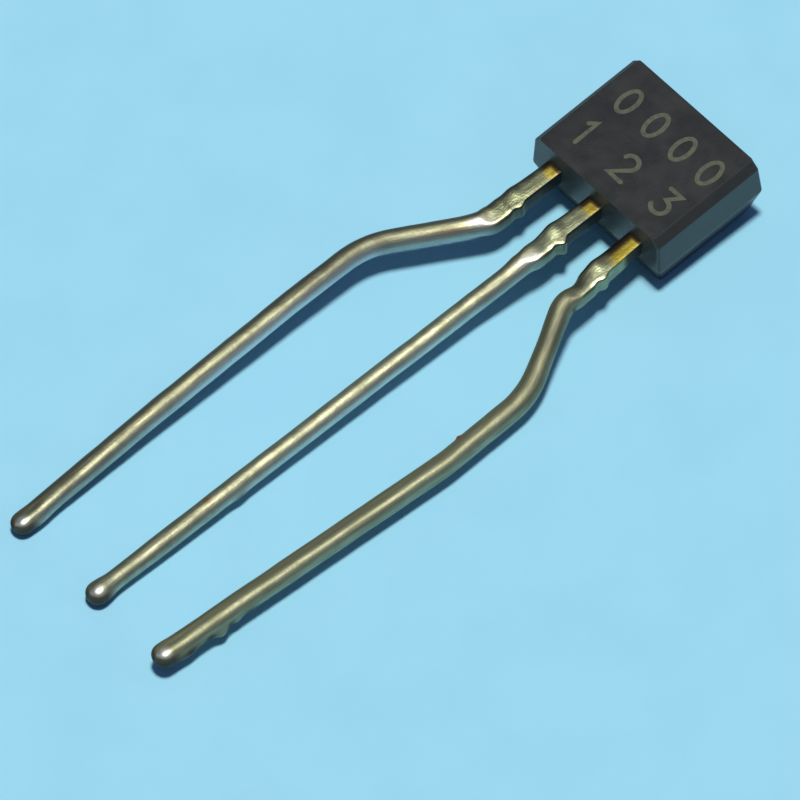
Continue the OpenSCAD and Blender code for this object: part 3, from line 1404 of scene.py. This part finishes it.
@dataclass
class PinNumbers:
    """Plain pin numbers marked on the face above the leads, and a row of zeros above them.

    Attributes:
        package: Sizes of the body.
        place: Move from the straight frame to the table.
        finish: The mark.
        height: Height of a digit, without its stroke.
        stroke: Width of the stroke.
        thick: How far the marks stand over the face, and reach into it.
        pins_x: Shift of the pin numbers to the right.
        pin_row_y: Middle of their row over the body's end.
        zeros_x: Shift of the zeros to the right.
        zero_row_y: Middle of their row.
        zeros: Number of zeros.
        zero_pitch: Distance between two zeros.
        zero_w: Width of a zero.
        step_deg: Angle between two points of a curve.
        cap_points: Number of points on a stroke's round end.
    """

    package: Package
    place: Matrix
    finish: bpy.types.Material
    height: float = 0.68
    stroke: float = 0.11
    thick: float = 0.003
    pins_x: float = 0.02
    pin_row_y: float = 0.92
    zeros_x: float = 0.12
    zero_row_y: float = 2.14
    zeros: int = 4
    zero_pitch: float = 0.86
    zero_w: float = 0.37
    step_deg: float = 12.0
    cap_points: int = 5

    def arc(self, centre: Pair, radius: Pair, start: float, end: float) -> list[Vector]:
        """Samples an elliptic arc in a digit's unit box.

        Args:
            centre: Its centre.
            radius: Its radii across and upwards.
            start: Its first angle, in degrees.
            end: Its last angle.

        Returns:
            The points in order.
        """
        count = max(3, round(abs(end - start) / self.step_deg))
        points = []
        for k in range(count + 1):
            angle = math.radians(start + (end - start) * k / count)
            across, upward = radius[0] * math.cos(angle), radius[1] * math.sin(angle)
            points.append(Vector((centre[0] + across, centre[1] + upward)))
        return points

    def stroke_path(self, digit: int) -> list[Vector]:
        """Lists the points of a digit's one pen stroke.

        Args:
            digit: The digit, from 1 to 3.

        Returns:
            The points in order, in a box one high and centred on x.
        """
        if digit == 1:
            return [Vector((-0.17, 0.80)), Vector((0.04, 1.0)), Vector((0.04, 0.0))]
        if digit == 2:
            foot = [Vector((-0.28, 0.0)), Vector((0.31, 0.0))]
            return self.arc((0, 0.72), (0.29, 0.28), 165, -35) + foot
        top = [Vector((-0.25, 1.0)), Vector((0.26, 1.0)), Vector((-0.05, 0.60))]
        return top + self.arc((-0.03, 0.29), (0.31, 0.29), 60, -155)

    def ribbon(self, bm: bmesh.types.BMesh, points: list[Vector]) -> None:
        """Adds a stroke as a thin raised ribbon with round ends.

        Args:
            bm: The mesh being built.
            points: The stroke's path on the marked face, in millimetres.
        """
        half = self.stroke / 2
        normals = []
        for i, point in enumerate(points):
            before = (point - points[i - 1]).normalized() if i else None
            after = (points[i + 1] - point).normalized() if i + 1 < len(points) else None
            heading = ((before or after) + (after or before)).normalized()
            widen = 1 / max(0.5, heading.dot(after or before))
            normals.append(Vector((-heading.y, heading.x)) * half * widen)
        outline = [p + n for p, n in zip(points, normals)]
        outline += self.cap(points[-1], -normals[-1])
        outline += [p - n for p, n in zip(reversed(points), reversed(normals))]
        outline += self.cap(points[0], normals[0])
        top = self.package.body_t + self.thick
        lower = [bm.verts.new((p.x, p.y, self.package.body_t - self.thick)) for p in outline]
        upper = [bm.verts.new((p.x, p.y, top)) for p in outline]
        for i in range(len(outline)):
            j = (i + 1) % len(outline)
            bm.faces.new((lower[i], lower[j], upper[j], upper[i]))
        bmesh.ops.triangulate(bm, faces=[bm.faces.new(upper)])

    def loop(self, bm: bmesh.types.BMesh, centre: Vector) -> None:
        """Adds a zero as a thin raised ring.

        Args:
            bm: The mesh being built.
            centre: Its middle on the marked face, in millimetres.
        """
        low, top = self.package.body_t - self.thick, self.package.body_t + self.thick
        count = round(360 / self.step_deg)
        angles = [2 * math.pi * k / count for k in range(count)]
        rows = []
        for grow, z in ((-1, low), (-1, top), (1, top), (1, low)):
            wide = self.zero_w / 2 + grow * self.stroke / 2
            high = self.height / 2 + grow * self.stroke / 2
            points = [(wide * math.cos(a), high * math.sin(a)) for a in angles]
            rows.append([bm.verts.new((centre.x + x, centre.y + y, z)) for x, y in points])
        for near, far in zip(rows, rows[1:]):
            for i in range(count):
                j = (i + 1) % count
                bm.faces.new((near[i], near[j], far[j], far[i]))

    def cap(self, centre: Vector, towards: Vector) -> list[Vector]:
        """Makes a stroke's half round end.

        Args:
            centre: The stroke's last point.
            towards: Offset from it to the side at which the round end finishes.

        Returns:
            The points between the stroke's two sides.
        """
        start = math.atan2(-towards.y, -towards.x)
        length, count = towards.length, self.cap_points
        angles = [start - math.pi * k / (count + 1) for k in range(1, count + 1)]
        return [centre + Vector((math.cos(a), math.sin(a))) * length for a in angles]

    def build(self) -> bpy.types.Object:
        """Builds the marks as one piece that rides on the body.

        Returns:
            The placed marks.
        """
        bm = bmesh.new()
        for digit in (1, 2, 3):
            x = (digit - 2) * self.package.lead_pitch + self.pins_x
            foot = Vector((x, self.pin_row_y - self.height / 2))
            self.ribbon(bm, [foot + point * self.height for point in self.stroke_path(digit)])
        for place in range(self.zeros):
            x = (place - (self.zeros - 1) / 2) * self.zero_pitch + self.zeros_x
            self.loop(bm, Vector((x, self.zero_row_y)))
        obj = new_object("pin_numbers", bm, self.place, self.finish)
        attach(obj, ROOT)
        return obj


# ---------------------------------------------------------------------------
# The chip inside
# ---------------------------------------------------------------------------


@dataclass
class SealedChip:
    """The silicon die, its attach layer and its bond wires, which keep their own solids.

    Attributes:
        nodes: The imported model's pieces by name.
        silicon: Finish of the die.
        paste: Finish of the attach layer.
        gold: Finish of the bond wires.
    """

    nodes: dict[str, bpy.types.Object]
    silicon: PlainMetalOrPaste = PlainMetalOrPaste(
        name="silicon",
        colour=(0.16, 0.17, 0.20),
        shade=(0.12, 0.13, 0.17),
        metallic=0.6,
        roughness=0.18,
        grain=0.01 * MM,
    )
    paste: PlainMetalOrPaste = PlainMetalOrPaste(
        name="attach_paste",
        colour=(0.48, 0.48, 0.46),
        shade=(0.36, 0.36, 0.35),
        metallic=0.3,
        roughness=0.5,
        grain=0.01 * MM,
    )
    gold: PlainMetalOrPaste = PlainMetalOrPaste(
        name="bond_gold",
        colour=(0.85, 0.60, 0.22),
        shade=(0.78, 0.52, 0.18),
        metallic=1.0,
        roughness=0.25,
        grain=0.01 * MM,
    )

    def dress(self) -> list[bpy.types.Object]:
        """Gives each sealed piece its finish.

        Returns:
            The dressed pieces.
        """
        finishes = {
            "die": self.silicon.build(),
            "die_attach": self.paste.build(),
            "emitter_bond_wire": self.gold.build(),
            "base_bond_wire": self.gold.build(),
        }
        for node, material in finishes.items():
            mesh = self.nodes[node].data
            mesh.materials.clear()
            mesh.materials.append(material)
        return [self.nodes[node] for node in finishes]


# ---------------------------------------------------------------------------
# Table, light and camera
# ---------------------------------------------------------------------------


@dataclass
class Table:
    """The plain pale sheet that the part lies on.

    Attributes:
        half: Half of its side, in metres.
    """

    half: float = 0.6

    def build(self) -> bpy.types.Object:
        """Makes the table top at height zero.

        Returns:
            The sheet.
        """
        bm = bmesh.new()
        corners = ((-1, -1), (1, -1), (1, 1), (-1, 1))
        bm.faces.new([bm.verts.new((x * self.half, y * self.half, 0.0)) for x, y in corners])
        table = new_object("table", bm, Matrix.Identity(4), TableSheet().build())
        return table


@dataclass(frozen=True)
class Softbox:
    """A round soft light.

    Attributes:
        name: Name of the lamp.
        direction: From the part towards the lamp.
        distance: Metres from the part.
        size: Diameter of the lamp in metres.
        watts: Power of the lamp.
        colour: Colour of its light.
    """

    name: str
    direction: Point
    distance: float
    size: float
    watts: float
    colour: Colour

    def build(self) -> bpy.types.Object:
        """Makes the lamp and aims it at the part.

        Returns:
            The lamp's object.
        """
        lamp = bpy.data.lights.new(self.name, "AREA")
        lamp.shape = "DISK"
        lamp.size = self.size
        lamp.energy = self.watts
        lamp.color = self.colour
        obj = bpy.data.objects.new(self.name, lamp)
        towards = Vector(self.direction).normalized()
        obj.location = towards * self.distance
        obj.rotation_euler = towards.to_track_quat("Z", "Y").to_euler()
        bpy.context.collection.objects.link(obj)
        return obj


@dataclass
class Studio:
    """Plain studio light: one overhead softbox and a dim room.

    Attributes:
        key: The softbox.
        room: Colour of the room's light from above.
        horizon: Colour of its light from the sides and below.
        fade: Heights, from 0 at the horizon to 1 overhead, over which the two mix.
    """

    key: Softbox = Softbox(
        name="overhead_softbox",
        direction=(0.02, 0.0, 1.0),
        distance=0.6,
        size=0.11,
        watts=3.3,
        colour=(1.0, 1.0, 0.86),
    )
    room: Colour = (0.072, 0.100, 0.168)
    horizon: Colour = (0.060, 0.060, 0.065)
    fade: Span = (0.1, 0.5)

    def build(self) -> None:
        """Makes the lamp and the room's light, which is darker towards the horizon."""
        self.key.build()
        world = bpy.data.worlds.new("room")
        world.use_nodes = True
        nodes, links = world.node_tree.nodes, world.node_tree.links
        place, split = nodes.new("ShaderNodeTexCoord"), nodes.new("ShaderNodeSeparateXYZ")
        height, blend = nodes.new("ShaderNodeMapRange"), nodes.new("ShaderNodeMix")
        height.interpolation_type = "SMOOTHSTEP"
        height.inputs["From Min"].default_value = self.fade[0]
        height.inputs["From Max"].default_value = self.fade[1]
        blend.data_type = "RGBA"
        low, high = (socket for socket in blend.inputs if socket.type == "RGBA")
        low.default_value, high.default_value = (*self.horizon, 1.0), (*self.room, 1.0)
        links.new(place.outputs["Generated"], split.inputs[0])
        links.new(split.outputs["Z"], height.inputs["Value"])
        links.new(height.outputs["Result"], blend.inputs["Factor"])
        mixed = next(socket for socket in blend.outputs if socket.type == "RGBA")
        links.new(mixed, nodes["Background"].inputs["Color"])
        bpy.context.scene.world = world


@dataclass(frozen=True)
class Viewpoint:
    """The camera, looking down at the part from the leads' right.

    Attributes:
        target: Point that the camera looks at, in metres.
        azimuth: Direction to the camera round Z, in degrees from +X.
        elevation: Height of the camera over the table, in degrees.
        distance: Metres from the target.
        lens: Focal length, in millimetres.
        sensor: Width of the sensor, in millimetres.
        near: Metres from which the camera sees.
    """

    target: Point = (0.5012 * MM, -0.2854 * MM, 0.0)
    azimuth: float = -42.46
    elevation: float = 56.43
    distance: float = 0.25
    lens: float = 518.1
    sensor: float = 36.0
    near: float = 0.01

    def build(self) -> bpy.types.Object:
        """Makes the camera and sets it as the scene's.

        Returns:
            The camera's object.
        """
        camera = bpy.data.cameras.new("camera")
        camera.sensor_width = self.sensor
        camera.lens = self.lens
        camera.clip_start = self.near
        obj = bpy.data.objects.new("camera", camera)
        azimuth, elevation = math.radians(self.azimuth), math.radians(self.elevation)
        level = math.cos(elevation)
        back = Vector((level * math.cos(azimuth), level * math.sin(azimuth), math.sin(elevation)))
        obj.location = Vector(self.target) + back * self.distance
        obj.rotation_euler = back.to_track_quat("Z", "Y").to_euler()
        bpy.context.collection.objects.link(obj)
        bpy.context.scene.camera = obj
        return obj


# ---------------------------------------------------------------------------
# The part
# ---------------------------------------------------------------------------


@dataclass
class Transistor:
    """The whole part: body, leads, marking and the sealed chip.

    Attributes:
        package: Sizes of the body and the lead frame, in millimetres like all below.
        lead_l: Length of the emitter and collector leads outside the body.
        base_lead_l: Length of the base lead.
        emitter_d: Diameter of the emitter's shank.
        collector_d: Diameter of the collector's.
        base_d: Diameter of the base's.
        emitter_x: Place of the spread emitter lead on X.
        base_x: Place of the spread base lead.
        collector_x: Place of the collector lead.
        emitter_slack_y: Distance from the body where the emitter lead sags.
        base_slack_y: The same for the base lead.
        base_drop: How far the base lead drops at its second bend.
        base_tip_rise: How far its tip stands above the others.
        base_bend_2: Distance from the body to its second bend.
    """

    package: Package = field(default_factory=Package)
    lead_l: float = 14.58
    base_lead_l: float = 14.66
    emitter_d: float = 0.51
    collector_d: float = 0.47
    base_d: float = 0.54
    emitter_x: float = -2.84
    base_x: float = 2.42
    collector_x: float = -0.04
    emitter_slack_y: float = 6.4
    base_slack_y: float = 6.7
    base_drop: float = 0.34
    base_tip_rise: float = 0.22
    base_bend_2: float = 4.19

    def pose(self) -> RestPose:
        """Works out how the part rests.

        Returns:
            The pose on the table.
        """
        box = self.package
        return RestPose(
            package=box,
            tip_y=self.lead_l - box.tip_d / 2,
            base_tip_y=self.base_lead_l - box.tip_d / 2,
            base_tip_rise=self.base_tip_rise,
            left_x=self.emitter_x - self.emitter_d / 2,
            right_x=self.base_x + self.base_d / 2,
        )

    def post_edges(self) -> Pair:
        """Distances from an outer lead's centre line to its bond post's inner and outer edge."""
        box = self.package
        return box.lead_pitch - box.pad_w / 2 - box.post_gap, box.lead_w / 2

    def emitter(self) -> LeadForm:
        """Describes the emitter lead, spread out to the left.

        Returns:
            Its form.
        """
        box, pose, z = self.package, self.pose(), self.package.lead_z
        inner, outer = self.post_edges()
        root_x, bent_x = -box.lead_pitch - 0.02, -box.lead_pitch - 0.115
        return LeadForm(
            role=LeadRole.EMITTER,
            corners=(
                (root_x, 0.0, z),
                (bent_x, -1.885, z - 0.09),
                (self.emitter_x + 0.03, -4.25, z),
                (self.emitter_x + 0.02, -self.emitter_slack_y, z + 0.05),
                (self.emitter_x + 0.05, -10.3, z + 0.03),
                (self.emitter_x + 0.125, -pose.tip_y, z),
            ),
            bends=(0.8, 2.2, 5.0, 20.0),
            shank_d=self.emitter_d,
            bead_d=0.53,
            inner_left=outer,
            inner_right=inner,
            inner_l=box.post_l,
            tarnish_to=1.1,
            side_tarnish=0.45,
            stub_out=0.08,
            roll=0.15,
            left_out=0.08,
            finish=SolderCoat(
                name="emitter_solder",
                solder=(0.365, 0.36, 0.245),
                rod_roughness=0.47,
                flank=1.0,
                flank_from=4.7,
                shade=(0.20, 0.18, 0.125),
                shade_to=-0.1,
                coat_from=0.12,
                coat_full=0.34,
                alloy_left=-0.5,
                bar=(0.25, 0.27, 0.165),
                bar_dull=(0.19, 0.19, 0.125),
            ),
            film=(Lump(4.9, 75, 0.40, 1.5, 100),),
            shine=(Lump(2.1, 70, 1.0, 0.22, 40),),
            lumps=(
                Lump(1.06, 125, 0.035, 0.17, 50),
                Lump(1.9, 150, 0.06, 0.3, 45),
                Lump(6.6, 104, -0.027, 1.6, 40),
                Lump(14.9, 104, -0.06, 3.0, 40),
                Lump(14.35, 112, -0.03, 0.35, 45),
                Lump(14.3, -15, 0.035, 0.3, 35),
            ),
            stains=(Lump(0.6, 20, 0.8, 0.06, 30), Lump(2.7, 48, 0.40, 0.6, 12)),
        )

    def collector(self) -> LeadForm:
        """Describes the collector lead, nearly straight and sagging a little.

        Returns:
            Its form.
        """
        box, pose, z = self.package, self.pose(), self.package.lead_z
        return LeadForm(
            role=LeadRole.COLLECTOR,
            corners=(
                (self.collector_x + 0.04, 0.0, z),
                (self.collector_x, -1.87, z - 0.01),
                (self.collector_x - 0.14, -3.5, z - 0.24),
                (self.collector_x - 0.235, -pose.tip_y, z),
            ),
            bends=(2.0, 5.0),
            shank_d=self.collector_d,
            bead_d=0.56,
            inner_left=box.pad_w / 2 + self.collector_x,
            inner_right=box.pad_w / 2 - self.collector_x,
            inner_l=box.pad_l,
            tarnish_to=1.1,
            side_tarnish=0.25,
            stub_out=0.13,
            roll=0.12,
            left_out=0.07,
            finish=SolderCoat(
                name="collector_solder",
                solder=(0.56, 0.55, 0.39),
                rod_roughness=0.45,
                flank=0.6,
                flank_from=2.5,
                shade=(0.27, 0.27, 0.17),
                shade_to=-0.2,
                coat_from=0.18,
                coat_full=0.42,
                alloy_left=-0.5,
            ),
            film=(Lump(2.9, 75, 0.32, 0.7, 100), Lump(13.0, 75, 0.26, 3.0, 100)),
            shine=(Lump(1.95, 65, 1.0, 0.22, 40),),
            painted_shade=(Lump(10.45, -18, 0.8, 0.16, 24),),
            lumps=(
                Lump(1.08, 125, 0.035, 0.17, 50),
                Lump(1.5, 160, -0.045, 0.2, 45),
                Lump(2.15, 155, 0.035, 0.2, 40),
                Lump(10.45, -20, 0.032, 0.16, 30),
                Lump(13.6, 0, -0.015, 0.6, 400),
                Lump(13.8, 104, -0.02, 2.5, 40),
                Lump(14.4, 112, -0.022, 0.25, 50),
            ),
            stains=(Lump(11.15, 110, 0.8, 0.07, 25),),
        )

    def base(self) -> LeadForm:
        """Describes the base lead, spread out to the right and dropping, with lumps near its tip.

        Returns:
            Its form.
        """
        box, pose, z = self.package, self.pose(), self.package.lead_z
        inner, outer = self.post_edges()
        slope = (self.base_drop + self.base_tip_rise) / (pose.base_tip_y - self.base_bend_2)
        slack_z = z - self.base_drop + slope * (self.base_slack_y - self.base_bend_2)
        return LeadForm(
            role=LeadRole.BASE,
            corners=(
                (box.lead_pitch, 0.0, z),
                (box.lead_pitch + 0.07, -2.22, z),
                (self.base_x - 0.08, -self.base_bend_2, z - self.base_drop),
                (self.base_x, -self.base_slack_y, slack_z),
                (self.base_x - 0.46, -pose.base_tip_y, z + self.base_tip_rise),
            ),
            bends=(0.8, 2.2, 5.0),
            shank_d=self.base_d,
            bead_d=0.575,
            inner_left=inner,
            inner_right=outer,
            inner_l=box.post_l,
            tarnish_to=0.5,
            side_tarnish=0.10,
            stub_out=0.08,
            roll=0.15,
            left_out=0.065,
            finish=SolderCoat(
                name="base_solder",
                solder=(0.41, 0.405, 0.275),
                rod_roughness=0.52,
                flank=0.05,
                flank_from=4.7,
                shade=(0.31, 0.31, 0.19),
                shade_to=0.0,
                coat_from=0.60,
                coat_full=0.95,
                alloy_left=-0.35,
            ),
            film=(Lump(2.9, 75, 0.42, 1.0, 100), Lump(4.5, 75, 0.28, 0.7, 100)),
            painted_shade=(
                Lump(2.15, -10, 1.0, 0.08, 30),
                Lump(12.5, -14, 0.8, 0.20, 20),
                Lump(13.05, -12, 0.9, 0.13, 24),
                Lump(13.6, -8, 1.0, 0.16, 24),
                Lump(14.15, -6, 1.0, 0.26, 28),
            ),
            lumps=(
                Lump(1.04, 125, 0.035, 0.17, 50),
                Lump(1.67, 155, -0.1, 0.25, 45),
                Lump(3.1, 155, -0.035, 0.8, 60),
                Lump(3.1, -25, -0.03, 0.8, 60),
                Lump(9.6, 108, -0.055, 4.5, 32),
                Lump(14.8, 104, -0.055, 1.6, 40),
                Lump(6.3, 148, 0.045, 0.05, 12),
                Lump(13.3, -32, 0.115, 0.17, 30),
                Lump(12.85, -38, 0.045, 0.12, 26),
                Lump(14.2, -45, 0.075, 0.24, 40),
            ),
            stains=(Lump(6.3, 148, 1.0, 0.09, 22), Lump(14.4, -30, 0.5, 0.15, 30)),
        )

    def build(self) -> list[bpy.types.Object]:
        """Builds every piece of the part.

        Returns:
            The pieces, from the body to the sealed chip.
        """
        place = self.pose().matrix()
        pieces = [MouldedBody(self.package, place, MouldedEpoxy().build()).build()]
        for form in (self.emitter(), self.collector(), self.base()):
            pieces.append(Lead(form, self.package, place).build())
        pieces.append(PinNumbers(self.package, place, LaserMark().build()).build())
        return pieces + SealedChip(frame["nodes"]).dress()


def main() -> None:
    """Builds the part, the table, the light and the camera, and reports each piece."""
    logging.basicConfig(level=logging.INFO)
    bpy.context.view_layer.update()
    for piece in Transistor().build():
        LOG.info("%s has %d faces", piece.name, len(piece.data.polygons))
    Table().build()
    Studio().build()
    Viewpoint().build()
    scene = bpy.context.scene
    scene.view_settings.view_transform = "Standard"


if __name__ == "__main__":
    main()
